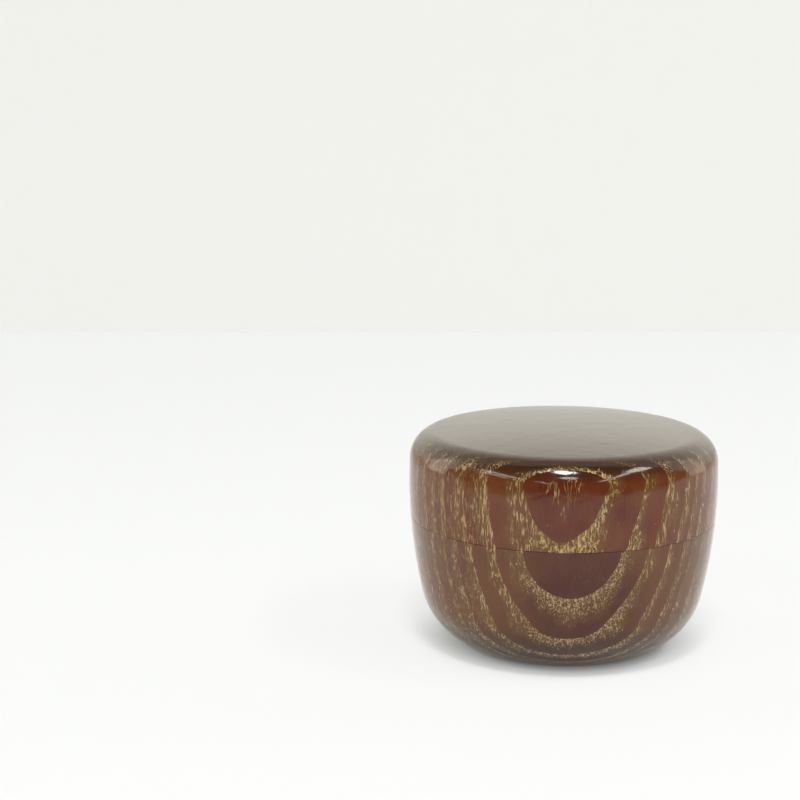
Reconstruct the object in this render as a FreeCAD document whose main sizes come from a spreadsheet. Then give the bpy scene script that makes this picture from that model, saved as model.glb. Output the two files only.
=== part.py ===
import FreeCAD, Part
import Sketcher
import math
import os
from FreeCAD import Vector
from types import SimpleNamespace

# Flat tea caddy: a turned wooden body and a turned wooden lid that meet at a level seam.
# The origin is the middle of the foot, on the surface that it stands on, and +Z is the lathe axis.

doc = FreeCAD.newDocument("TeaCaddy")
sheet = doc.addObject("Spreadsheet::Sheet", "Sizes")

# Driving sizes, in millimetres.
driving = [
    # outline of the closed caddy
    ("seam_height", 35.2, "level where lid and body meet, which is the body's height without its rim"),
    ("lid_height", 24.8, "seam to the middle of the crown"),
    ("belly_radius", 41.0, "largest radius"),
    ("belly_rise", 9.9, "level of the largest radius above the seam"),
    ("side_arc", 135.0, "radius of the long curve of the side"),
    ("lower_arc", 19.8, "radius of the curve from the side in to the foot"),
    ("foot_radius", 23.0, "outer radius of the foot ring"),
    ("shoulder_arc", 7.5, "radius of the lid's rounded shoulder"),
    ("crown_arc", 280.0, "radius of the lid's gently crowned top"),
    ("seam_round", 0.3, "eased edge on each side of the seam"),
    # inside of the body, and the rim that the lid slides over
    ("wall", 5.0, "finished thickness of the body's side"),
    ("floor_height", 4.6, "finished floor of the well above the table"),
    ("rim_wall", 1.7, "finished thickness of the rim at its lip"),
    ("rim_height", 11.0, "finished rim above the ledge"),
    ("lip_round", 0.6, "rounding of the rim's lip"),
    # foot
    ("foot_ring", 2.4, "width of the ring that it stands on"),
    ("foot_hollow", 0.8, "rise of the hollowed underside"),
    # hollow of the lid
    ("lid_gap", 0.25, "running gap between rim and lid, on the radius"),
    ("lid_top", 3.4, "finished thickness of the lid's top"),
    ("lid_corner", 6.5, "radius between the lid's wall and its ceiling"),
    ("mouth_round", 0.25, "eased inner edge of the lid's mouth"),
    # lacquer and cuts
    ("coat", 0.4, "thickness of the black lacquer coat"),
    ("overrun", 1.0, "how far a cut runs past the wood"),
]
for row, (alias, value, note) in enumerate(driving, start=1):
    sheet.set("A%d" % row, alias.replace("_", " "))
    sheet.set("B%d" % row, str(value))
    sheet.set("C%d" % row, note)
    sheet.setAlias("B%d" % row, alias)
doc.recompute()


class Length:
    """A length of the sheet: the formula that binds it and the value that it has now."""

    def __init__(self, formula, value):
        self.formula = formula
        self.value = value

    def __add__(self, other):
        return Length("(%s + %s)" % (self.formula, other.formula), self.value + other.value)

    def __sub__(self, other):
        return Length("(%s - %s)" % (self.formula, other.formula), self.value - other.value)

    def __neg__(self):
        return Length("(-%s)" % self.formula, -self.value)


size = SimpleNamespace(**{alias: Length("Sizes." + alias, float(value)) for alias, value, note in driving})

# The wood is cut back by one coat where the black lacquer goes.
bare_wood = size.coat
finished = Length("0", 0.0)

# Worked out from the driving sizes.
caddy_height = size.seam_height + size.lid_height
belly_height = size.seam_height + size.belly_rise
rim_top = size.seam_height + size.rim_height
rim_radius = size.belly_radius - size.wall + size.rim_wall
hollow_radius = rim_radius + size.lid_gap
side_centre = Vector(size.belly_radius.value - size.side_arc.value, belly_height.value, 0)
crown_centre = Vector(0, caddy_height.value - size.crown_arc.value, 0)


def heading(centre, point):
    return math.atan2(point.y - centre.y, point.x - centre.x)


def towards(centre, point, reach):
    """Point at a given reach from a centre, on the line through another point."""
    return centre + (point - centre).normalize() * reach


def side_point(level, curve):
    """Point at a level on the long curve of the side, or on a curve of another radius parallel to it."""
    rise = level.value - side_centre.y
    return Vector(side_centre.x + math.sqrt(curve.value ** 2 - rise ** 2), level.value, 0)


def meeting_point(first, first_reach, second, second_reach):
    """Point at given reaches from two others, on the left of the way from first to second."""
    span = second - first
    along = (first_reach ** 2 - second_reach ** 2 + span.Length ** 2) / (span.Length + span.Length)
    off = math.sqrt(first_reach ** 2 - along ** 2)
    unit = Vector(span).normalize()
    return first + unit * along + Vector(-unit.y, unit.x, 0) * off


def arc(centre, start, end):
    """Arc that runs anticlockwise about its centre from start to end."""
    circle = Part.Circle(centre, Vector(0, 0, 1), (start - centre).Length)
    return Part.ArcOfCircle(circle, heading(centre, start), heading(centre, end))


# A sketch's own codes: the points of a curve, then its level axis, its upright axis and its origin.
START, END, CENTRE = range(1, 4)
LEVEL_AXIS, LATHE_AXIS = range(-1, -3, -1)
ORIGIN = (LEVEL_AXIS, START)


class Profile:
    """Closed outline on the body's XZ plane: sketch x is the radius and sketch y is the height."""

    def __init__(self, body, name):
        plane = [item for item in body.Origin.OriginFeatures if item.Role == "XZ_Plane"][0]
        self.sketch = body.newObject("Sketcher::SketchObject", name)
        self.sketch.AttachmentSupport = [(plane, "")]
        self.sketch.MapMode = "FlatFace"

    def draw(self, *curves):
        return [self.sketch.addGeometry(curve, False) for curve in curves]

    def rule(self, *terms):
        return self.sketch.addConstraint(Sketcher.Constraint(*terms))

    def bind(self, name, length, kind, *where):
        """Dimension drawn at its present value and tied to the sheet."""
        index = self.rule(kind, *where, length.value)
        self.sketch.renameConstraint(index, name)
        self.sketch.setExpression("Constraints." + name, length.formula)

    def at_radius(self, name, length, point):
        if length is None:
            self.rule("PointOnObject", *point, LATHE_AXIS)
        else:
            self.bind(name, length, "DistanceX", *ORIGIN, *point)

    def at_level(self, name, length, point):
        if length is None:
            self.rule("PointOnObject", *point, LEVEL_AXIS)
        else:
            self.bind(name, length, "DistanceY", *ORIGIN, *point)

    def loop(self, curves, smooth=()):
        """Join each curve to the next and the last to the first, smoothly where a curve is named in smooth."""
        for first, second in zip(curves, curves[1:] + curves[:1]):
            if first in smooth:
                self.rule("Tangent", first, END, second, START)
            else:
                self.rule("Coincident", first, END, second, START)

    def level(self, *curves):
        for curve in curves:
            self.rule("Horizontal", curve)

    def upright(self, *curves):
        for curve in curves:
            self.rule("Vertical", curve)

    def side_curve(self, curve, radius):
        """The long curve of the side, or one parallel to it, has the same centre in every piece."""
        self.bind("sideArc", radius, "Radius", curve)
        self.bind("sideCentre", size.side_arc - size.belly_radius, "DistanceX", curve, CENTRE, *ORIGIN)
        self.at_level("bellyHeight", belly_height, (curve, CENTRE))

    def square(self, corners):
        """Outline of level and upright lines through corners given as (radius, level)."""
        places = [Vector(radius.value if radius else 0, level.value, 0) for radius, level in corners]
        lines = self.draw(*[Part.LineSegment(a, b) for a, b in zip(places, places[1:] + places[:1])])
        self.loop(lines)
        for number, (radius, level) in enumerate(corners):
            if radius is corners[(number + 1) % len(corners)][0]:
                self.upright(lines[number])
                self.at_radius("radius%d" % number, radius, (lines[number], START))
            else:
                self.level(lines[number])
                self.at_level("level%d" % number, level, (lines[number], START))
        return self


def new_body(label):
    body = doc.addObject("PartDesign::Body", label)
    body.Label = label
    body.Placement = FreeCAD.Placement(Vector(0, 0, 0), FreeCAD.Rotation())
    return body


def turned(body, name, profile, kind="PartDesign::Revolution"):
    """Turn a profile once round the lathe axis, to add it or to cut it away."""
    feature = body.newObject(kind, name)
    feature.Profile = profile.sketch
    feature.ReferenceAxis = (profile.sketch, ["V_Axis"])
    feature.Angle = 360.0
    doc.recompute()
    return feature


def cut_away(body, name, profile):
    before = body.Shape.Volume
    groove = turned(body, name, profile, "PartDesign::Groove")
    if body.Shape.Volume >= before:
        raise RuntimeError(name + " cuts nothing")
    return groove


def eased(body, name, radius, *places):
    """Round the rings, which are the edges of the body that run level at the given (radius, level) places."""
    near = size.coat.value / size.side_arc.value
    base = body.Tip
    rings = []
    for number, edge in enumerate(base.Shape.Edges, start=1):
        if edge.Degenerated:
            continue
        begin = edge.valueAt(edge.FirstParameter)
        middle = edge.valueAt((edge.FirstParameter + edge.LastParameter) / 2)
        for ring, level in places:
            off_ring = abs(math.hypot(begin.x, begin.y) - ring)
            off_level = max(abs(begin.z - level), abs(middle.z - level))
            if max(off_ring, off_level) < near:
                rings.append("Edge%d" % number)
    if len(rings) < len(places):
        raise RuntimeError(name + " finds %d rings, not %d" % (len(rings), len(places)))
    feature = body.newObject("PartDesign::Fillet", name)
    feature.Base = (base, rings)
    feature.setExpression("Radius", radius.formula)
    doc.recompute()
    return feature


def well(body, name, allowance, top):
    """Inside of the body: a level floor and a curved side, parallel to the outside."""
    floor = size.floor_height - allowance
    corner = size.lower_arc - size.wall + allowance
    side_radius = size.side_arc - size.wall + allowance
    bend_level = floor.value + corner.value
    reach = side_radius.value - corner.value
    across = math.sqrt(reach ** 2 - (side_centre.y - bend_level) ** 2)
    bend_centre = Vector(side_centre.x + across, bend_level, 0)
    middle = Vector(0, floor.value, 0)
    bend_start = Vector(bend_centre.x, floor.value, 0)
    bend_end = towards(side_centre, bend_centre, side_radius.value)
    lip = side_point(top, side_radius)
    top_middle = Vector(0, top.value, 0)

    profile = Profile(body, name)
    base, bend, side, cover, axis = curves = profile.draw(
        Part.LineSegment(middle, bend_start),
        arc(bend_centre, bend_start, bend_end),
        arc(side_centre, bend_end, lip),
        Part.LineSegment(lip, top_middle),
        Part.LineSegment(top_middle, middle),
    )
    profile.loop(curves, smooth=(base, bend))
    profile.level(base, cover)
    profile.upright(axis)
    profile.at_radius("axis", None, (axis, START))
    profile.side_curve(side, side_radius)
    profile.bind("corner", corner, "Radius", bend)
    profile.at_level("floor", floor, (base, START))
    profile.at_level("top", top, (cover, START))
    return profile


def hollow(body, name, allowance, mouth):
    """Inside of the lid: a straight wall, a round corner and a ceiling that follows the crown."""
    wall = hollow_radius + allowance
    corner = size.lid_corner + allowance
    thickness = size.lid_top - allowance
    ceiling = size.crown_arc - thickness
    across = wall.value - corner.value
    rise = math.sqrt((ceiling.value - corner.value) ** 2 - across ** 2)
    bend_centre = crown_centre + Vector(across, rise, 0)
    bend_start = bend_centre + Vector(corner.value, 0, 0)
    bend_end = towards(crown_centre, bend_centre, ceiling.value)
    peak = crown_centre + Vector(0, ceiling.value, 0)
    middle = Vector(0, mouth.value, 0)
    edge = Vector(wall.value, mouth.value, 0)

    profile = Profile(body, name)
    opening, side, bend, dome, axis = curves = profile.draw(
        Part.LineSegment(middle, edge),
        Part.LineSegment(edge, bend_start),
        arc(bend_centre, bend_start, bend_end),
        arc(crown_centre, bend_end, peak),
        Part.LineSegment(peak, middle),
    )
    profile.loop(curves, smooth=(side, bend))
    profile.level(opening)
    profile.upright(side, axis)
    profile.at_radius("axis", None, (axis, END))
    profile.rule("PointOnObject", dome, CENTRE, LATHE_AXIS)
    profile.at_level("mouth", mouth, (opening, END))
    profile.at_radius("wall", wall, (side, START))
    profile.bind("corner", corner, "Radius", bend)
    profile.bind("ceiling", ceiling, "Radius", dome)
    profile.at_level("peak", caddy_height - thickness, (dome, END))
    return profile


def body_outline(body, name):
    """Foot, lower curve, side up to the seam, ledge and the wood of the rim."""
    rim = rim_radius - size.coat
    top = rim_top - size.coat
    centre = Vector(0, 0, 0)
    foot = Vector(size.foot_radius.value, 0, 0)
    lower_reach = size.side_arc.value - size.lower_arc.value
    lower_centre = meeting_point(side_centre, lower_reach, foot, size.lower_arc.value)
    hip = towards(side_centre, lower_centre, size.side_arc.value)
    seam = side_point(size.seam_height, size.side_arc)
    ledge = Vector(rim.value, size.seam_height.value, 0)
    rim_edge = Vector(rim.value, top.value, 0)
    rim_middle = Vector(0, top.value, 0)

    profile = Profile(body, name)
    base, lower, side, step, spigot, cover, axis = curves = profile.draw(
        Part.LineSegment(centre, foot),
        arc(lower_centre, foot, hip),
        arc(side_centre, hip, seam),
        Part.LineSegment(seam, ledge),
        Part.LineSegment(ledge, rim_edge),
        Part.LineSegment(rim_edge, rim_middle),
        Part.LineSegment(rim_middle, centre),
    )
    profile.loop(curves, smooth=(lower,))
    profile.level(base, step, cover)
    profile.upright(spigot, axis)
    profile.rule("Coincident", base, START, *ORIGIN)
    profile.side_curve(side, size.side_arc)
    profile.at_radius("footRadius", size.foot_radius, (base, END))
    profile.bind("lowerArc", size.lower_arc, "Radius", lower)
    profile.at_level("seamHeight", size.seam_height, (step, START))
    profile.at_radius("rimRadius", rim, (spigot, START))
    profile.at_level("rimTop", top, (cover, START))
    return profile


def lid_outline(body, name):
    """Mouth, side from the seam up, rounded shoulder and crowned top."""
    seam = side_point(size.seam_height, size.side_arc)
    shoulder = size.shoulder_arc.value
    crown_reach = size.crown_arc.value - shoulder
    side_reach = size.side_arc.value - shoulder
    shoulder_centre = meeting_point(side_centre, side_reach, crown_centre, crown_reach)
    shoulder_start = towards(side_centre, shoulder_centre, size.side_arc.value)
    shoulder_end = towards(crown_centre, shoulder_centre, size.crown_arc.value)
    peak = Vector(0, caddy_height.value, 0)
    middle = Vector(0, size.seam_height.value, 0)

    profile = Profile(body, name)
    side, bend, crown, axis, mouth = curves = profile.draw(
        arc(side_centre, seam, shoulder_start),
        arc(shoulder_centre, shoulder_start, shoulder_end),
        arc(crown_centre, shoulder_end, peak),
        Part.LineSegment(peak, middle),
        Part.LineSegment(middle, seam),
    )
    profile.loop(curves, smooth=(side, bend))
    profile.upright(axis)
    profile.level(mouth)
    profile.at_radius("axis", None, (axis, START))
    profile.rule("PointOnObject", crown, CENTRE, LATHE_AXIS)
    profile.side_curve(side, size.side_arc)
    profile.bind("shoulderArc", size.shoulder_arc, "Radius", bend)
    profile.bind("crownArc", size.crown_arc, "Radius", crown)
    profile.at_level("caddyHeight", caddy_height, (axis, START))
    profile.at_level("seamHeight", size.seam_height, (mouth, START))
    return profile


def foot_dish(body, name):
    """Shallow dish under the foot, which leaves a ring to stand on."""
    inside = size.foot_radius - size.foot_ring
    rise = size.foot_hollow.value
    dish_arc = (inside.value ** 2 + rise ** 2) / (rise + rise)
    dish_centre = Vector(0, rise - dish_arc, 0)
    edge = Vector(inside.value, 0, 0)
    peak = Vector(0, rise, 0)
    below = Vector(0, -size.overrun.value, 0)

    profile = Profile(body, name)
    dome, axis, table, side = curves = profile.draw(
        arc(dish_centre, edge, peak),
        Part.LineSegment(peak, below),
        Part.LineSegment(below, below + edge),
        Part.LineSegment(below + edge, edge),
    )
    profile.loop(curves)
    profile.upright(axis, side)
    profile.level(table)
    profile.at_radius("axis", None, (axis, END))
    profile.rule("PointOnObject", dome, CENTRE, LATHE_AXIS)
    profile.at_level("hollow", size.foot_hollow, (dome, END))
    profile.at_radius("ringInside", inside, (side, END))
    profile.at_level("standing", None, (side, END))
    profile.at_level("below", -size.overrun, (table, END))
    return profile


seam_edge = side_point(size.seam_height, size.side_arc)
lip_edge = side_point(rim_top, size.side_arc - size.wall)

# Body: turned outside and rim, then the well and the foot are hollowed.
wood_body = new_body("body")
turned(wood_body, "BodyForm", body_outline(wood_body, "BodyOutline"))
cut_away(wood_body, "Well", well(wood_body, "WellProfile", bare_wood, rim_top + size.overrun))
cut_away(wood_body, "FootHollow", foot_dish(wood_body, "FootProfile"))
eased(wood_body, "SeamEdge", size.seam_round, (seam_edge.x, seam_edge.y))

# Black lacquer of the body: it fills the cut-back well, wraps the lip and runs down the rim.
body_coat = new_body("body_lining")
turned(body_coat, "WellCoat", well(body_coat, "WellCoatProfile", bare_wood, rim_top))
coat_inside = rim_radius - size.coat
coat_under = rim_top - size.coat
sleeve = [
    (None, coat_under),
    (coat_inside, coat_under),
    (coat_inside, size.seam_height),
    (rim_radius, size.seam_height),
    (rim_radius, rim_top),
    (None, rim_top),
]
turned(body_coat, "RimCoat", Profile(body_coat, "RimCoatProfile").square(sleeve))
cut_away(body_coat, "WellSpace", well(body_coat, "WellSpaceProfile", finished, rim_top + size.overrun))
eased(
    body_coat,
    "LipEdges",
    size.lip_round,
    (lip_edge.x, lip_edge.y),
    (rim_radius.value, rim_top.value),
)

# Lid: turned outside, then hollowed to slide over the rim.
below_mouth = size.seam_height - size.overrun
wood_lid = new_body("lid")
turned(wood_lid, "LidForm", lid_outline(wood_lid, "LidOutline"))
cut_away(wood_lid, "Hollow", hollow(wood_lid, "HollowProfile", bare_wood, below_mouth))
eased(wood_lid, "SeamEdge", size.seam_round, (seam_edge.x, seam_edge.y))

# Black lacquer of the lid.
lid_coat = new_body("lid_lining")
turned(lid_coat, "HollowCoat", hollow(lid_coat, "HollowCoatProfile", bare_wood, size.seam_height))
cut_away(lid_coat, "HollowSpace", hollow(lid_coat, "HollowSpaceProfile", finished, below_mouth))
eased(lid_coat, "MouthEdge", size.mouth_round, (hollow_radius.value, seam_edge.y))

doc.recompute()

pieces = [wood_body, body_coat, wood_lid, lid_coat]
for item in doc.Objects:
    if "Invalid" in item.State or "Error" in item.State:
        raise RuntimeError(item.Label + " failed: " + ", ".join(item.State))
for piece in pieces:
    if piece.Shape.isNull() or not piece.Shape.isValid() or len(piece.Shape.Solids) != 1:
        raise RuntimeError(piece.Label + " is not one sound solid")

os.makedirs("parts", exist_ok=True)
for piece in pieces:
    piece.Shape.exportStep("parts/" + piece.Label + ".step")
    box = piece.Shape.BoundBox
    print("%-12s volume %8.1f  radius %5.2f  from %5.2f to %5.2f" % (
        piece.Label, piece.Shape.Volume, box.XMax, box.ZMin, box.ZMax))
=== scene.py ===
import math

import bmesh
import bpy
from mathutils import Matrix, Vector


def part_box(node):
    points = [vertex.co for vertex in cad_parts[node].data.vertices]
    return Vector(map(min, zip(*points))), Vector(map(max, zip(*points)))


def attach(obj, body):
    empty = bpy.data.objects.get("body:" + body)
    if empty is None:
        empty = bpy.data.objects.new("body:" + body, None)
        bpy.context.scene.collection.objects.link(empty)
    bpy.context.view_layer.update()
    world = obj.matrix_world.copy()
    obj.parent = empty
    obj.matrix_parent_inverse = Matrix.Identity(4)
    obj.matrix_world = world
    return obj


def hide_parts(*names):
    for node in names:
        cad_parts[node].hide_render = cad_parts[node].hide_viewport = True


# Flat tea caddy: turned wood under clear lacquer, with gold left in the pores, and black lacquer inside.
# Lengths are in metres, and a point of a section is (radius, height) from the middle of the foot.

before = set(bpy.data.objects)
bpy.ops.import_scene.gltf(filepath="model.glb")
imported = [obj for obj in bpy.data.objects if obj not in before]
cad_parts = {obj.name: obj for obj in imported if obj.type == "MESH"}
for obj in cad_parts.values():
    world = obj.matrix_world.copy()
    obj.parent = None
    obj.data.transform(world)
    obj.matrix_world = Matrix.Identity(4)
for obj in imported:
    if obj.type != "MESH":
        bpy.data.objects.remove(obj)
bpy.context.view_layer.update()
mm = 0.001
print("frame loaded")

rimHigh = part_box("body_lining")[1]
lidLow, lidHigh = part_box("lid")
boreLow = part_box("lid_lining")[0]

# The outside of the closed caddy, which lid and body share.
outline = {
    "seam": lidLow.z,
    "crown": lidHigh.z,
    "bellyRadius": 41.0 * mm,
    "bellyHeight": lidLow.z + 9.9 * mm,
    "sideArc": 135.0 * mm,
    "seamRound": 0.12 * mm,
    "coat": 0.4 * mm,  # black lacquer, in a recess of the wood
    "turns": 288,
    "wedges": 8,
    "merge": 0.002 * mm,
    "sharpAngle": math.radians(28),
}
sideCentre = Vector((outline["bellyRadius"] - outline["sideArc"], outline["bellyHeight"]))


def touching(first, firstReach, second, secondReach):
    # the point that lies this far from each centre, on the left of the way from first to second
    span = second - first
    along = (firstReach ** 2 - secondReach ** 2 + span.length_squared) / (2 * span.length)
    off = math.sqrt(firstReach ** 2 - along ** 2)
    unit = span.normalized()
    return first + unit * along + Vector((-unit.y, unit.x)) * off


def towards(centre, point, reach):
    return centre + (point - centre).normalized() * reach


def sidePoint(height, arc):
    return Vector((sideCentre.x + math.sqrt(arc ** 2 - (height - sideCentre.y) ** 2), height))


# Half section of a turned piece, drawn as one run of lines and arcs.
class Section:
    def __init__(self, start):
        self.mesh = bmesh.new()
        self.first = self.tip = self.mesh.verts.new((start[0], 0, start[1]))

    def lineTo(self, point, parts=1):
        begin = Vector((self.tip.co.x, self.tip.co.z))
        for part in range(1, parts + 1):
            place = begin.lerp(Vector(point), part / parts)
            made = bmesh.ops.extrude_vert_indiv(self.mesh, verts=[self.tip])
            self.tip = made["verts"][0]
            self.tip.co = (place.x, 0, place.y)

    def arcTo(self, centre, end, steps):
        # the tip turns about the centre, the short way round
        begin = Vector((self.tip.co.x, self.tip.co.z)) - centre
        turn = -begin.angle_signed(Vector(end) - centre)
        made = bmesh.ops.spin(
            self.mesh, geom=[self.tip], cent=(centre.x, 0, centre.y), axis=(0, -1, 0),
            angle=turn, steps=steps, use_duplicate=False,
        )
        self.tip = [part for part in made["geom_last"] if isinstance(part, bmesh.types.BMVert)][0]

    def close(self):
        self.mesh.edges.new((self.tip, self.first))


def turnedPiece(name, section, movesWith, node, material):
    mesh = section.mesh
    # one wedge is spun first, then copies of it go round to close the turn
    wedges = outline["wedges"]
    wedge = 2 * math.pi / wedges
    bmesh.ops.spin(
        mesh, geom=mesh.verts[:] + mesh.edges[:], cent=(0, 0, 0), axis=(0, 0, 1),
        angle=wedge, steps=outline["turns"] // wedges, use_duplicate=False,
    )
    bmesh.ops.spin(
        mesh, geom=mesh.verts[:] + mesh.edges[:] + mesh.faces[:], cent=(0, 0, 0), axis=(0, 0, 1),
        angle=2 * math.pi - wedge, steps=wedges - 1, use_duplicate=True,
    )
    bmesh.ops.remove_doubles(mesh, verts=mesh.verts[:], dist=outline["merge"])
    bmesh.ops.recalc_face_normals(mesh, faces=mesh.faces[:])
    for face in mesh.faces:
        face.smooth = True
    for edge in mesh.edges:
        if len(edge.link_faces) == 2 and edge.calc_face_angle(0) > outline["sharpAngle"]:
            edge.smooth = False
    data = bpy.data.meshes.new(name)
    mesh.to_mesh(data)
    mesh.free()
    data.materials.append(material)
    piece = bpy.data.objects.new(name, data)
    bpy.context.scene.collection.objects.link(piece)
    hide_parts(node)
    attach(piece, movesWith)
    print("made", name, len(data.polygons), "faces")


# Node wiring that every material uses.
def addNode(tree, kind, inputs=None, **settings):
    made = tree.nodes.new(kind)
    for setting, value in settings.items():
        setattr(made, setting, value)
    for key, value in (inputs or {}).items():
        if isinstance(value, bpy.types.NodeSocket):
            tree.links.new(value, made.inputs[key])
        else:
            made.inputs[key].default_value = value
    return made


def maths(tree, operation, first, second=0.0, third=0.0):
    return addNode(tree, "ShaderNodeMath", {0: first, 1: second, 2: third}, operation=operation).outputs[0]


def times(tree, first, second):
    return maths(tree, "MULTIPLY", first, second)


def larger(tree, first, second):
    return maths(tree, "MAXIMUM", first, second)


def vectorMaths(tree, operation, first, second=(0, 0, 0)):
    made = addNode(tree, "ShaderNodeVectorMath", {0: first, 1: second}, operation=operation)
    return made.outputs["Value"] if operation == "LENGTH" else made.outputs["Vector"]


def scaled(tree, vector, amounts):
    return vectorMaths(tree, "MULTIPLY", vector, amounts)


def oneAxis(tree, vector, name):
    return addNode(tree, "ShaderNodeSeparateXYZ", {"Vector": vector}).outputs[name]


def noiseNode(tree, place, scale, detail=2.0, roughness=0.5, dimensions="3D"):
    made = addNode(
        tree, "ShaderNodeTexNoise", {"Scale": scale, "Detail": detail, "Roughness": roughness},
        noise_dimensions=dimensions,
    )
    tree.links.new(place, made.inputs["W" if dimensions == "1D" else "Vector"])
    return made


def noise(tree, place, scale, **settings):
    return noiseNode(tree, place, scale, **settings).outputs[0]


def stretch(tree, value, span, result=(0.0, 1.0), smooth=True):
    # the value's span from low to high becomes the result from first to last, and stops at both
    made = addNode(
        tree, "ShaderNodeMapRange",
        {"Value": value, "From Min": span[0], "From Max": span[1], "To Min": result[0], "To Max": result[1]},
        interpolation_type="SMOOTHSTEP" if smooth else "LINEAR",
    )
    return made.outputs["Result"]


def ramp(tree, value, stops):
    made = addNode(tree, "ShaderNodeValToRGB", {"Fac": value})
    while len(made.color_ramp.elements) < len(stops):
        made.color_ramp.elements.new(0.5)
    for element, (place, shade) in zip(made.color_ramp.elements, stops):
        element.position = place
        element.color = (shade, shade, shade, 1.0)
    return made.outputs["Color"]


def blendColour(tree, factor, first, second):
    made = addNode(tree, "ShaderNodeMix", data_type="RGBA")
    for place, value in ((0, factor), (6, first), (7, second)):
        if isinstance(value, bpy.types.NodeSocket):
            tree.links.new(value, made.inputs[place])
        else:
            made.inputs[place].default_value = (*value, 1.0) if isinstance(value, tuple) else value
    return made.outputs[2]


def bumped(tree, strength, distance, height):
    made = addNode(tree, "ShaderNodeBump", {"Strength": strength, "Distance": distance, "Height": height})
    return made.outputs["Normal"]


def newMaterial(name):
    material = bpy.data.materials.new(name)
    material.use_nodes = True
    tree = material.node_tree
    shader = tree.nodes["Principled BSDF"]
    return material, tree, shader


def millimetres(tree):
    coordinates = addNode(tree, "ShaderNodeTexCoord")
    return scaled(tree, coordinates.outputs["Object"], (1 / mm,) * 3)


# The wood, in millimetres. Growth rings are shells round a pith behind the caddy, listed by the radius of
# their outer edges. Counted up from "level", the pith leans by "lean", and "slope", "bulge", "flare" and
# "curl" swell the shells with the first to fourth power of the height; below "lowest" nothing changes.
# "goldShare" is how much of each ring holds gold, from the outermost in, and "armShare" is what is left of
# that in a figure's upper arms. "frontStreak" and "sideShare" say how the front differs from the flanks,
# "sideShare" by how far a painted reflection lightens the flanks.
# The lid comes from further up the block than the body, so the figure doesn't join at the seam.
bodyGrain = {
    "pith": (1.23, 38.0),
    "lean": -0.047,
    "level": 25.0,
    "slope": -0.040,
    "bulge": 0.0015,
    "flare": -0.000185,
    "curl": 0.0,
    "lowest": -40.0,
    "rings": (81.0, 79.1, 77.3, 75.9, 74.0),
    "goldShare": (0.05, 0.25, 0.72, 0.62, 0.62, 0.8),
    "armShare": 1.0,
    "sideShare": 0.45,
    "deepLacquer": (0.069, 0.0155, 0.009),
    "warmLacquer": (0.105, 0.029, 0.011),
    "squiggle": (0.75, 0.75, 1.2),
    "fleck": (0.36, 0.36, 0.6),
    "brightGold": (0.425, 0.277, 0.146),
    "frontStreak": 0.35,
    "streakWidth": 0.058,
}
lidGrain = {
    "pith": (3.25, 38.0),
    "lean": -0.075,
    "level": 43.0,
    "slope": 0.053,
    "bulge": -0.00117,
    "flare": -0.00042,
    "curl": 0.0000908,
    "lowest": -6.0,
    "rings": (79.82, 78.82, 77.05, 75.1, 72.65),
    "goldShare": (0.72, 0.74, 0.68, 0.8, 0.8, 0.85),
    "armShare": 0.5,
    "sideShare": 0.28,
    "deepLacquer": (0.100, 0.0155, 0.006),
    "warmLacquer": (0.148, 0.039, 0.0115),
    "squiggle": (0.95, 0.95, 2.0),
    "fleck": (0.5, 0.5, 1.5),
    "brightGold": (0.53, 0.352, 0.138),
    "frontStreak": 0.55,
    "streakWidth": 0.07,
}
wood = {
    # rings further in than the listed ones
    "ringWidth": 1.9,
    "yearScale": 0.22,
    "yearReach": 6.0,
    "yearVariation": 1.5,
    # how the rings wander and the pores weave
    "wanderScale": 0.09,
    "wander": 0.12,
    "weaveScale": 0.38,
    "weave": 0.6,
    # where a ring holds gold, and how it thins out from the ring's outer edge inwards
    "patchShape": (1.0, 1.0, 0.5),
    "patchScale": 0.2,
    "patchSpan": (0.32, 0.68),
    "patchShare": (0.7, 1.3),
    "flank": (8.0, 20.0),
    "armHeight": (-5.0, 3.0),
    "thinning": ((0.0, 0.0), (0.03, 1.0), (0.35, 0.9), (0.65, 0.6), (1.0, 0.0)),
    # pores: size across, in depth and up the block
    "streak": (0.7, 0.7, 8.0),
    "stroke": (1.05, 1.05, 9.0),
    "strokeSpan": (0.55, 0.95),
    "strokeWidth": 0.045,
    "squiggleWidth": 0.055,
    "shutPore": -0.03,
    "fleckShore": (0.78, 0.545),
    "poreEdge": (-0.012, 0.03),
    # the flanks have fewer squiggles, the far left an even fill of streaks, and the right slightly fewer
    "flankSquiggle": 0.3,
    "farLeft": (-27.0, -20.0),
    "leftStreak": 0.58,
    "rightFlank": (8.0, 25.0),
    "rightStreak": 0.87,
    # how well a pore is filled, and how the gold fades on the top and far out on the flanks
    "fillShape": (1.3, 1.3, 0.5),
    "fillSpan": (0.34, 0.56),
    "leastFill": 0.25,
    "topSpan": (0.6, 0.92),
    "topGold": 0.12,
    "farFlank": (22.0, 38.0),
    "farGold": 0.55,
    # colours
    "fibreShape": (3.2, 3.2, 0.12),
    "fibreShare": 0.45,
    "cloudScale": 0.11,
    "cloudShare": 0.75,
    "warmSpan": (0.42, 0.8),
    # painted reflection: the flanks are blended towards this lighter warm brown, standing in for the
    # surroundings they mirror
    "flankReflection": (0.21, 0.082, 0.026),
    # darker where the surface faces up: partly end grain, partly painted shade against the light from above
    "endGrainShade": (0.035, 0.016, 0.007),
    "endShadeSpan": (0.15, 0.72),
    "endShadeShare": 0.9,
    "goldHaze": (0.165, 0.095, 0.024),
    "hazeShare": 0.44,
    "oliveGold": (0.20, 0.135, 0.045),
    "brightSpan": (0.0, 0.06),
    "paleGold": (0.48, 0.32, 0.17),
    "paleSpan": (0.4, 0.7),
    # surface; a bump is its strength and its distance in metres
    "metallic": 0.5,
    "roughness": 0.55,
    "goldSmoothing": 0.18,
    "bump": (0.25, 0.00008),
    "rippleScale": 0.2,
    "goldRelief": -0.15,
    "fibreRelief": 0.05,
    "coatBump": (0.8, 0.0001),
    "coatRoughness": 0.1,
    "coatIor": 1.4,
}


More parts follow.
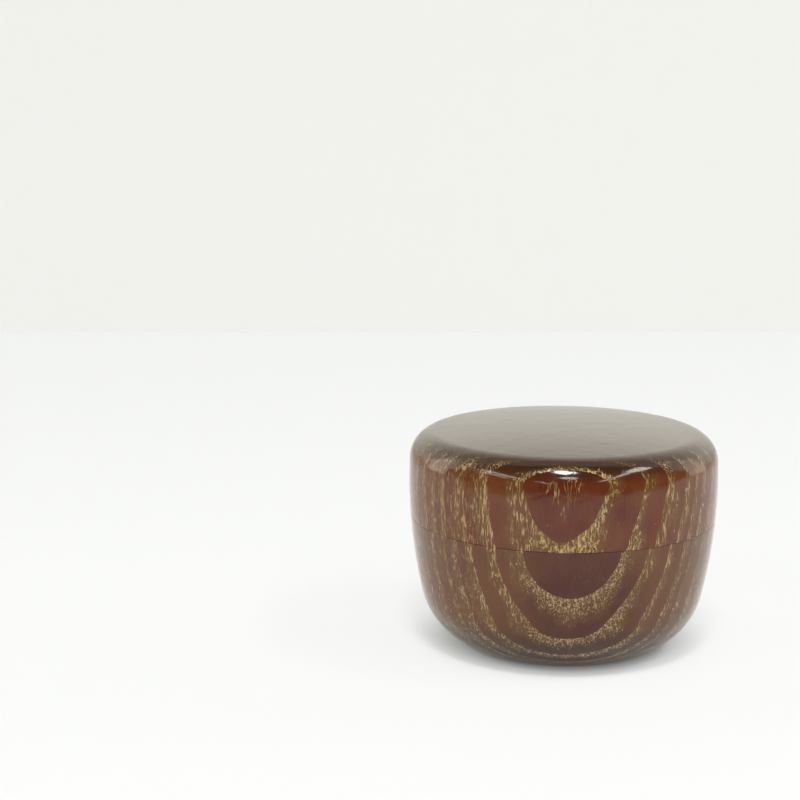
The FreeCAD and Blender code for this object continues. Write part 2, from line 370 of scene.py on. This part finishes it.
def wandering(tree, place, base, scale, amount, detail):
    # the base shifted sideways by a soft noise
    shift = noiseNode(tree, place, scale, detail=detail).outputs["Color"]
    shift = vectorMaths(tree, "SUBTRACT", shift, (0.5, 0.5, 0.5))
    return vectorMaths(tree, "ADD", base, scaled(tree, shift, (amount, amount, 0.0)))


def ringCount(tree, radius, rings):
    # whole numbers fall on the outer edge of each ring
    beyond = maths(tree, "MINIMUM", maths(tree, "SUBTRACT", rings[0], radius), 0.0)
    within = larger(tree, maths(tree, "SUBTRACT", rings[-1], radius), 0.0)
    count = maths(tree, "DIVIDE", maths(tree, "ADD", beyond, within), wood["ringWidth"])
    for outer, inner in zip(rings, rings[1:]):
        count = maths(tree, "ADD", count, stretch(tree, radius, (outer, inner), smooth=False))
    # the years further in are not all of one width
    years = noise(tree, radius, wood["yearScale"], detail=1.0, dimensions="1D")
    years = maths(tree, "SUBTRACT", years, 0.5)
    depth = (rings[-1], rings[-1] - wood["yearReach"])
    inwards = stretch(tree, radius, depth, (0.0, wood["yearVariation"]), smooth=False)
    return maths(tree, "MULTIPLY_ADD", years, inwards, count)


def stepped(tree, count, values):
    # a value for each of the first rings, and the last one for all the rest
    level = values[0]
    for ring, (before, after) in enumerate(zip(values, values[1:])):
        passed = maths(tree, "GREATER_THAN", count, ring + 1)
        level = maths(tree, "MULTIPLY_ADD", passed, after - before, level)
    return level


def windingPores(tree, place, size, density, widest):
    # pores drawn along the level line of a stretched noise, wider where the density is higher
    stretched = scaled(tree, place, tuple(1 / side for side in size))
    height = noise(tree, stretched, 1.0, detail=1.5)
    away = maths(tree, "ABSOLUTE", maths(tree, "SUBTRACT", height, 0.5))
    width = stretch(tree, density, (0.0, 1.0), (wood["shutPore"], widest), smooth=False)
    return maths(tree, "SUBTRACT", width, away)


def shortPores(tree, place, size, density):
    # separate pores on the peaks of a stretched noise
    stretched = scaled(tree, place, tuple(1 / side for side in size))
    height = noise(tree, stretched, 1.0, detail=1.0)
    shore = stretch(tree, density, (0.0, 1.0), wood["fleckShore"], smooth=False)
    return maths(tree, "SUBTRACT", height, shore)


def growthRings(tree, wandered, grain):
    height = maths(tree, "SUBTRACT", oneAxis(tree, wandered, "Z"), grain["level"])
    up = larger(tree, height, grain["lowest"])
    pithLine = maths(tree, "MULTIPLY_ADD", up, grain["lean"], grain["pith"][0])
    across = maths(tree, "SUBTRACT", oneAxis(tree, wandered, "X"), pithLine)
    behind = maths(tree, "SUBTRACT", oneAxis(tree, wandered, "Y"), grain["pith"][1])
    fromPith = addNode(tree, "ShaderNodeCombineXYZ", {"X": across, "Y": behind}).outputs["Vector"]
    swell = grain["curl"]
    for term in ("flare", "bulge", "slope"):
        swell = maths(tree, "MULTIPLY_ADD", up, swell, grain[term])
    radius = maths(tree, "MULTIPLY_ADD", up, swell, vectorMaths(tree, "LENGTH", fromPith))
    return ringCount(tree, radius, grain["rings"]), across, up


def filledPores(tree, woven, grain, density, strokeDensity, across, sideways):
    # squiggles and flecks at the front, long streaks on the flanks, and strokes in the lid's inner figure
    facing = times(tree, density, stretch(tree, sideways, (0, 1), (1.0, wood["flankSquiggle"])))
    running = times(tree, density, stretch(tree, sideways, (0, 1), (grain["frontStreak"], 1.0)))
    running = times(tree, running, stretch(tree, across, wood["rightFlank"], (1.0, wood["rightStreak"])))
    running = larger(tree, running, stretch(tree, across, wood["farLeft"], (wood["leftStreak"], 0.0)))
    squiggle = windingPores(tree, woven, grain["squiggle"], facing, wood["squiggleWidth"])
    fleck = shortPores(tree, woven, grain["fleck"], facing)
    streak = windingPores(tree, woven, wood["streak"], running, grain["streakWidth"])
    stroke = windingPores(tree, woven, wood["stroke"], strokeDensity, wood["strokeWidth"])
    return larger(tree, larger(tree, squiggle, fleck), larger(tree, streak, stroke))


def lacqueredWood(name, grain):
    material, tree, shader = newMaterial(name)
    place = millimetres(tree)
    wandered = wandering(tree, place, place, wood["wanderScale"], wood["wander"], detail=3.0)
    woven = wandering(tree, place, wandered, wood["weaveScale"], wood["weave"], detail=1.0)
    rings, across, up = growthRings(tree, wandered, grain)
    offMiddle = maths(tree, "ABSOLUTE", across)
    sideways = stretch(tree, offMiddle, wood["flank"])

    # gold is dense along a ring's sharp outer edge and thins out inwards
    patches = noise(tree, scaled(tree, place, wood["patchShape"]), wood["patchScale"])
    share = stepped(tree, rings, grain["goldShare"])
    share = times(tree, share, stretch(tree, patches, wood["patchSpan"], wood["patchShare"]))
    innermost = maths(tree, "LESS_THAN", rings, 1.0)
    arms = larger(tree, stretch(tree, up, wood["armHeight"], (1.0, grain["armShare"])), sideways)
    share = times(tree, share, larger(tree, arms, innermost))
    inBand = maths(tree, "DIVIDE", maths(tree, "FRACT", rings), share)
    density = ramp(tree, inBand, wood["thinning"])
    density = times(tree, density, maths(tree, "SUBTRACT", 1.0, innermost))
    strokeDensity = times(tree, innermost, stretch(tree, inBand, wood["strokeSpan"], (1.0, 0.0)))

    # pores run up the block and weave a little; where the cut runs across the rings they show as streaks
    filled = filledPores(tree, woven, grain, density, strokeDensity, across, sideways)
    pores = stretch(tree, filled, wood["poreEdge"])
    patchy = noise(tree, scaled(tree, place, wood["fillShape"]), 1.0)
    fill = stretch(tree, patchy, wood["fillSpan"], (wood["leastFill"], 1.0))
    normal = addNode(tree, "ShaderNodeTexCoord").outputs["Normal"]
    level = maths(tree, "ABSOLUTE", oneAxis(tree, normal, "Z"))
    fade = stretch(tree, level, wood["topSpan"], (1.0, wood["topGold"]))
    fade = times(tree, fade, stretch(tree, offMiddle, wood["farFlank"], (1.0, wood["farGold"])))
    gold = times(tree, times(tree, pores, fill), fade)

    # wood seen through the clear lacquer, darker where the surface faces up: partly end grain that has drunk
    # the lacquer in, partly painted shade that holds back the strong light from above
    fibres = noise(tree, scaled(tree, woven, wood["fibreShape"]), 1.0, detail=3.0, roughness=0.6)
    clouds = noise(tree, place, wood["cloudScale"], detail=3.0)
    warmth = maths(
        tree, "ADD", times(tree, fibres, wood["fibreShare"]), times(tree, clouds, wood["cloudShare"]),
    )
    lacquer = blendColour(
        tree, stretch(tree, warmth, wood["warmSpan"]), grain["deepLacquer"], grain["warmLacquer"],
    )
    # painted reflection: the flanks are lightened towards a warm brown, standing in for the surroundings
    # they mirror
    lacquer = blendColour(tree, times(tree, sideways, grain["sideShare"]), lacquer, wood["flankReflection"])
    lacquer = blendColour(tree, times(tree, density, wood["hazeShare"]), lacquer, wood["goldHaze"])
    # painted shade, with the end grain: the more the surface faces up, the darker the wood
    endGrainShade = stretch(tree, level, wood["endShadeSpan"])
    lacquer = blendColour(tree, times(tree, endGrainShade, wood["endShadeShare"]), lacquer, wood["endGrainShade"])
    bright = stretch(tree, filled, wood["brightSpan"])
    goldTone = blendColour(tree, bright, wood["oliveGold"], grain["brightGold"])
    pale = times(tree, stretch(tree, patchy, wood["paleSpan"]), sideways)
    goldTone = blendColour(tree, pale, goldTone, wood["paleGold"])
    tree.links.new(blendColour(tree, gold, lacquer, goldTone), shader.inputs["Base Color"])
    tree.links.new(times(tree, gold, wood["metallic"]), shader.inputs["Metallic"])
    roughness = maths(tree, "SUBTRACT", wood["roughness"], times(tree, gold, wood["goldSmoothing"]))
    tree.links.new(roughness, shader.inputs["Roughness"])
    relief = maths(tree, "SUBTRACT", fibres, gold)
    tree.links.new(bumped(tree, *wood["bump"], relief), shader.inputs["Normal"])

    # the clear coat lies nearly flat over it
    ripple = noise(tree, place, wood["rippleScale"], detail=3.0, roughness=0.6)
    coatHeight = maths(tree, "MULTIPLY_ADD", gold, wood["goldRelief"], ripple)
    coatHeight = maths(tree, "MULTIPLY_ADD", fibres, wood["fibreRelief"], coatHeight)
    tree.links.new(bumped(tree, *wood["coatBump"], coatHeight), shader.inputs["Coat Normal"])
    shader.inputs["Specular IOR Level"].default_value = 0.0
    shader.inputs["Coat Weight"].default_value = 1.0
    shader.inputs["Coat Roughness"].default_value = wood["coatRoughness"]
    shader.inputs["Coat IOR"].default_value = wood["coatIor"]
    return material


# Black lacquer, worn thin and brown along one edge. Its pattern is in millimetres.
blackCoat = {
    "black": (0.011, 0.009, 0.0085),
    "worn": (0.075, 0.028, 0.014),
    "cloudScale": 0.2,
    "ragged": 1.1,
    "wornSpan": (0.45, 1.1),
    "wornShare": 0.75,
    "cloudSpan": (0.3, 0.7),
    "roughness": (0.22, 0.38),
    "rippleScale": 0.35,
    "bump": (0.25, 0.00004),
    "coatRoughness": 0.03,
    "coatIor": 1.6,
}


def blackLacquer(name, edgeHeight):
    material, tree, shader = newMaterial(name)
    place = millimetres(tree)
    clouds = noise(tree, place, blackCoat["cloudScale"], detail=4.0)
    fromEdge = maths(tree, "ABSOLUTE", maths(tree, "SUBTRACT", oneAxis(tree, place, "Z"), edgeHeight / mm))
    ragged = maths(tree, "ADD", fromEdge, times(tree, clouds, blackCoat["ragged"]))
    thin = times(tree, stretch(tree, ragged, blackCoat["wornSpan"], (1.0, 0.0)), blackCoat["wornShare"])
    colour = blendColour(tree, thin, blackCoat["black"], blackCoat["worn"])
    tree.links.new(colour, shader.inputs["Base Color"])
    roughness = stretch(tree, clouds, blackCoat["cloudSpan"], blackCoat["roughness"])
    tree.links.new(roughness, shader.inputs["Roughness"])
    ripple = noise(tree, place, blackCoat["rippleScale"], detail=3.0)
    tree.links.new(bumped(tree, *blackCoat["bump"], ripple), shader.inputs["Normal"])
    shader.inputs["Coat Weight"].default_value = 1.0
    shader.inputs["Coat Roughness"].default_value = blackCoat["coatRoughness"]
    shader.inputs["Coat IOR"].default_value = blackCoat["coatIor"]
    return material


# Body: foot, lower curve, side, ledge, rim and well, cut back where the black coat lies.
body = {
    "footRadius": 23.0 * mm,
    "footRing": 2.4 * mm,
    "footHollow": 0.8 * mm,
    "lowerArc": 19.8 * mm,
    "wall": 5.0 * mm,
    "floor": 4.6 * mm,
    "rimRadius": rimHigh.x,
    "rimTop": rimHigh.z,
    "lipRound": 0.6 * mm,
}


def seamRounding(side):
    # small arc on the seam's edge: side -1 is the body's, +1 the lid's
    ease = outline["seamRound"]
    level = outline["seam"] + side * ease
    centre = sidePoint(level, outline["sideArc"] - ease)
    return centre, towards(sideCentre, centre, outline["sideArc"]), Vector((centre.x, outline["seam"]))


def wellCurve(section, allowance, lipHeight=None):
    # side, bend and floor of the well: down to the middle, or from there back up to the lip
    arc = outline["sideArc"] - body["wall"] + allowance
    bend = body["lowerArc"] - body["wall"] + allowance
    floor = body["floor"] - allowance
    centre = Vector((0, floor + bend))
    centre.x = sideCentre.x + math.sqrt((arc - bend) ** 2 - (centre.y - sideCentre.y) ** 2)
    meet = towards(sideCentre, centre, arc)
    turn = Vector((centre.x, floor))
    if lipHeight is None:
        section.arcTo(sideCentre, meet, steps=40)
        section.arcTo(centre, turn, steps=24)
        section.lineTo((0, floor), parts=6)
    else:
        section.lineTo(turn, parts=6)
        section.arcTo(centre, meet, steps=24)
        section.arcTo(sideCentre, sidePoint(lipHeight, arc), steps=40)


def bodySection():
    inside = body["footRadius"] - body["footRing"]
    hollow = body["footHollow"]
    dish = (inside ** 2 + hollow ** 2) / (2 * hollow)
    section = Section((0, hollow))
    section.arcTo(Vector((0, hollow - dish)), Vector((inside, 0)), steps=16)
    foot = Vector((body["footRadius"], 0))
    section.lineTo(foot, parts=2)
    lower = touching(sideCentre, outline["sideArc"] - body["lowerArc"], foot, body["lowerArc"])
    section.arcTo(lower, towards(sideCentre, lower, outline["sideArc"]), steps=40)
    ease, easeStart, easeEnd = seamRounding(-1)
    section.arcTo(sideCentre, easeStart, steps=48)
    section.arcTo(ease, easeEnd, steps=5)
    rim = body["rimRadius"] - outline["coat"]
    top = body["rimTop"] - outline["coat"]
    section.lineTo((rim, outline["seam"]), parts=3)
    section.lineTo((rim, top), parts=4)
    section.lineTo(sidePoint(top, outline["sideArc"] - body["wall"] + outline["coat"]))
    wellCurve(section, outline["coat"])
    return section


def bodyCoatSection():
    coat, seam = outline["coat"], outline["seam"]
    rim, top = body["rimRadius"], body["rimTop"]
    section = Section((0, body["floor"] - coat))
    wellCurve(section, coat, top - coat)
    section.lineTo((rim - coat, top - coat))
    section.lineTo((rim - coat, seam), parts=4)
    section.lineTo((rim, seam))
    lip = body["lipRound"]
    section.lineTo((rim, top - lip), parts=4)
    section.arcTo(Vector((rim - lip, top - lip)), Vector((rim - lip, top)), steps=8)
    arc = outline["sideArc"] - body["wall"]
    inner = sidePoint(top - lip, arc + lip)
    section.lineTo((inner.x, top))
    section.arcTo(inner, towards(sideCentre, inner, arc), steps=8)
    wellCurve(section, 0)
    return section


# Lid: side, shoulder and crown outside, straight bore and domed ceiling inside.
lid = {
    "shoulderArc": 7.5 * mm,
    "crownArc": 280.0 * mm,
    "boreRadius": -boreLow.x,
    "top": 3.4 * mm,
    "corner": 6.5 * mm,
    "mouthRound": 0.25 * mm,
}
crownCentre = Vector((0, outline["crown"] - lid["crownArc"]))


def hollowCurve(section, allowance, mouth=None):
    # bore, corner and ceiling of the lid: up to the middle, or from there back down to the mouth
    wall = lid["boreRadius"] + allowance
    corner = lid["corner"] + allowance
    ceiling = lid["crownArc"] - lid["top"] + allowance
    centre = Vector((wall - corner, 0))
    centre.y = crownCentre.y + math.sqrt((ceiling - corner) ** 2 - centre.x ** 2)
    meet = towards(crownCentre, centre, ceiling)
    peak = Vector((0, crownCentre.y + ceiling))
    side = Vector((wall, centre.y))
    if mouth is None:
        section.lineTo(side, parts=6)
        section.arcTo(centre, meet, steps=20)
        section.arcTo(crownCentre, peak, steps=24)
    else:
        section.arcTo(crownCentre, meet, steps=24)
        section.arcTo(centre, side, steps=20)
        section.lineTo((wall, mouth), parts=6)


def lidSection():
    shoulder = touching(
        sideCentre, outline["sideArc"] - lid["shoulderArc"],
        crownCentre, lid["crownArc"] - lid["shoulderArc"],
    )
    ease, easeEnd, easeStart = seamRounding(1)
    section = Section((lid["boreRadius"] + outline["coat"], outline["seam"]))
    section.lineTo(easeStart, parts=3)
    section.arcTo(ease, easeEnd, steps=5)
    section.arcTo(sideCentre, towards(sideCentre, shoulder, outline["sideArc"]), steps=36)
    section.arcTo(shoulder, towards(crownCentre, shoulder, lid["crownArc"]), steps=40)
    section.arcTo(crownCentre, Vector((0, outline["crown"])), steps=36)
    section.lineTo((0, crownCentre.y + lid["crownArc"] - lid["top"] + outline["coat"]))
    hollowCurve(section, outline["coat"], outline["seam"])
    return section


def lidCoatSection():
    bore, lip, seam = lid["boreRadius"], lid["mouthRound"], outline["seam"]
    section = Section((bore + outline["coat"], seam))
    hollowCurve(section, outline["coat"])
    section.lineTo((0, crownCentre.y + lid["crownArc"] - lid["top"]))
    hollowCurve(section, 0, seam + lip)
    section.arcTo(Vector((bore + lip, seam + lip)), Vector((bore + lip, seam)), steps=5)
    section.close()
    return section


bodyWood = lacqueredWood("bodyWood", bodyGrain)
lidWood = lacqueredWood("lidWood", lidGrain)
wellBlack = blackLacquer("wellBlack", body["rimTop"])
hollowBlack = blackLacquer("hollowBlack", outline["seam"])
turnedPiece("turnedBody", bodySection(), "caddy_body", "body", bodyWood)
turnedPiece("wellCoat", bodyCoatSection(), "caddy_body", "body_lining", wellBlack)
turnedPiece("turnedLid", lidSection(), "caddy_lid", "lid", lidWood)
turnedPiece("hollowCoat", lidCoatSection(), "caddy_lid", "lid_lining", hollowBlack)

# Studio: a pale floor that ends in front of the caddy, a pale backdrop and ceiling, strip lamps overhead
# and a lamp panel on each side of the backdrop.
studio = {
    "reach": 6.0,
    "floorFront": -0.081,
    "floorRound": 0.314,
    "underFloor": -0.1 * mm,
    "backdrop": 0.567,
    "backdropReach": 1.0,
    "backdropHeight": 1.06,
    "sideReach": 3.2,
    "ceilingFront": 0.02,
    # "shown" is the colour that the camera sees unlit, "glow" its share, and "lift" what reflections see
    "floor": {
        "colour": (0.885, 0.90, 0.91), "shown": (0.958, 0.972, 0.96), "glow": 0.75, "lift": (0.25, 0.25),
    },
    "wall": {
        "colour": (0.90, 0.905, 0.885), "shown": (0.94, 0.94, 0.9), "glow": 0.8, "lift": (0.15, 0.95),
    },
    "ceiling": {
        "colour": (0.90, 0.905, 0.885), "shown": (0.94, 0.94, 0.9), "glow": 0.0, "lift": (0.4, 0.4),
    },
    "sheetRoughness": 0.85,
    "sheetSpecular": 0.1,
    "liftHeight": 0.3,
    "liftColour": (1.0, 0.97, 0.83),
    "footClear": (0.021, 0.044),
    "liftClear": (0.022, 0.034),
    "clearBack": 0.004,
    "dimRoom": (0.09, 0.088, 0.085),
    # side of the backdrop, watts
    "panels": {"leftPanel": (-1, 26.0), "rightPanel": (1, 18.5)},
    # x from, x to, y from, y to, watts, shape
    "lamps": {
        "middleStrip": (-0.12, 0.06, -0.62, -0.34, 6.5, "ELLIPSE"),
        "middleFarStrip": (-0.12, 0.08, -1.2, -0.92, 3.0, "RECTANGLE"),
        "rightStrip": (0.70, 0.80, -1.75, -0.44, 5.0, "RECTANGLE"),
        "rightNearStrip": (0.64, 0.88, -0.42, -0.04, 4.0, "RECTANGLE"),
        "leftStrip": (-1.12, -1.04, -1.3, -0.3, 4.0, "RECTANGLE"),
        "leftOuterStrip": (-1.5, -1.32, -1.3, -0.4, 4.0, "RECTANGLE"),
        "leftFarStrip": (-0.85, -0.70, -2.8, -1.7, 4.1, "RECTANGLE"),
    },
    "lampHeight": 1.0,
    "lampColour": (1.0, 0.985, 0.96),
}


def flatMesh(width, firstEdge, lastEdge):
    # a rectangle between two level edges, each given as (y, z)
    mesh = bmesh.new()
    corners = ((-width, *firstEdge), (width, *firstEdge), (width, *lastEdge), (-width, *lastEdge))
    mesh.faces.new([mesh.verts.new(corner) for corner in corners])
    return mesh


def roundFront():
    # the floor ends in a round front before the caddy
    mesh = bmesh.new()
    bmesh.ops.create_circle(mesh, cap_ends=True, segments=128, radius=studio["floorRound"])
    bmesh.ops.bisect_plane(
        mesh, geom=mesh.verts[:] + mesh.edges[:] + mesh.faces[:], plane_co=(0, studio["floorFront"], 0),
        plane_no=(0, 1, 0), clear_outer=True,
    )
    return mesh


def paleSheet(name, mesh, look):
    data = bpy.data.meshes.new(name)
    mesh.to_mesh(data)
    mesh.free()
    sheet = bpy.data.objects.new(name, data)
    bpy.context.scene.collection.objects.link(sheet)
    material, tree, shader = newMaterial(name)
    shader.inputs["Roughness"].default_value = studio["sheetRoughness"]
    shader.inputs["Specular IOR Level"].default_value = studio["sheetSpecular"]
    rays = addNode(tree, "ShaderNodeLightPath")
    seen = rays.outputs["Is Camera Ray"]
    place = addNode(tree, "ShaderNodeTexCoord").outputs["Object"]

    # the camera sees part of the sheet's own colour unlit, so it stays pale and keeps a soft shadow;
    # close to the foot only real light shows, so the contact shadow stays dark
    level = vectorMaths(tree, "SUBTRACT", scaled(tree, place, (1, 1, 0)), (0.0, studio["clearBack"], 0.0))
    away = vectorMaths(tree, "LENGTH", level)
    unlit = times(tree, seen, stretch(tree, away, studio["footClear"], (0.0, look["glow"])))
    tree.links.new(blendColour(tree, unlit, look["colour"], (0.0, 0.0, 0.0)), shader.inputs["Base Color"])

    # reflections see the sheet glow a little, at most as bright as white
    emitted = blendColour(tree, seen, studio["liftColour"], look["shown"])
    tree.links.new(emitted, shader.inputs["Emission Color"])
    rise = stretch(tree, oneAxis(tree, place, "Z"), (0.0, studio["liftHeight"]), look["lift"])
    rise = times(tree, rise, stretch(tree, away, studio["liftClear"]))
    strength = maths(tree, "MULTIPLY_ADD", rays.outputs["Is Glossy Ray"], rise, unlit)
    tree.links.new(strength, shader.inputs["Emission Strength"])
    data.materials.append(material)
    return sheet


def areaLamp(name, size, watts, colour, place, shape="RECTANGLE", tilt=0):
    data = bpy.data.lights.new(name, "AREA")
    data.shape = shape
    data.size, data.size_y = size
    data.energy = watts
    data.color = colour
    lamp = bpy.data.objects.new(name, data)
    lamp.location = place
    lamp.rotation_euler = (math.radians(tilt), 0, 0)
    lamp.visible_camera = False
    bpy.context.scene.collection.objects.link(lamp)


reach, front, back = studio["reach"], studio["floorFront"], studio["backdrop"]
top, middle, side = studio["backdropHeight"], studio["backdropReach"], studio["sideReach"]
paleSheet("tableTop", flatMesh(reach, (front, 0), (reach, 0)), studio["floor"])
paleSheet("tableFront", roundFront(), studio["floor"])
# beyond the front the floor is there for the camera only, so the caddy mirrors the dim room
under = studio["underFloor"]
outer = paleSheet("outerFloor", flatMesh(reach, (-reach, under), (front, under)), studio["floor"])
outer.visible_glossy = False
outer.visible_diffuse = False
paleSheet("backdrop", flatMesh(middle, (back, 0), (back, top)), studio["wall"])
ceiling = paleSheet("ceiling", flatMesh(side, (studio["ceilingFront"], top), (back, top)), studio["ceiling"])
ceiling.visible_diffuse = False

for name, (turn, watts) in studio["panels"].items():
    stand = (turn * (side + middle) / 2, back, top / 2)
    areaLamp(name, (side - middle, top), watts, studio["liftColour"], stand, tilt=-90)
for name, (left, right, near, far, watts, shape) in studio["lamps"].items():
    hung = ((left + right) / 2, (near + far) / 2, studio["lampHeight"])
    areaLamp(name, (right - left, far - near), watts, studio["lampColour"], hung, shape=shape)

# Past the sheets the camera sees the backdrop's colour, and everything else sees a dim room.
world = bpy.data.worlds.new("studioRoom")
world.use_nodes = True
room = world.node_tree
seen = addNode(room, "ShaderNodeLightPath").outputs["Is Camera Ray"]
shade = blendColour(room, seen, studio["dimRoom"], studio["wall"]["colour"])
room.links.new(shade, room.nodes["Background"].inputs["Color"])
bpy.context.scene.world = world

view = {"lens": 80.87, "place": (-0.0435, -0.4688, 0.1538), "pitch": 10.61, "clip": (0.01, 50)}
cameraData = bpy.data.cameras.new("viewer")
cameraData.lens = view["lens"]
cameraData.clip_start, cameraData.clip_end = view["clip"]
viewer = bpy.data.objects.new("viewer", cameraData)
viewer.location = view["place"]
viewer.rotation_euler = (math.radians(90 - view["pitch"]), 0, 0)
bpy.context.scene.collection.objects.link(viewer)
bpy.context.scene.camera = viewer
bpy.context.scene.view_settings.view_transform = "Standard"
print("studio ready")
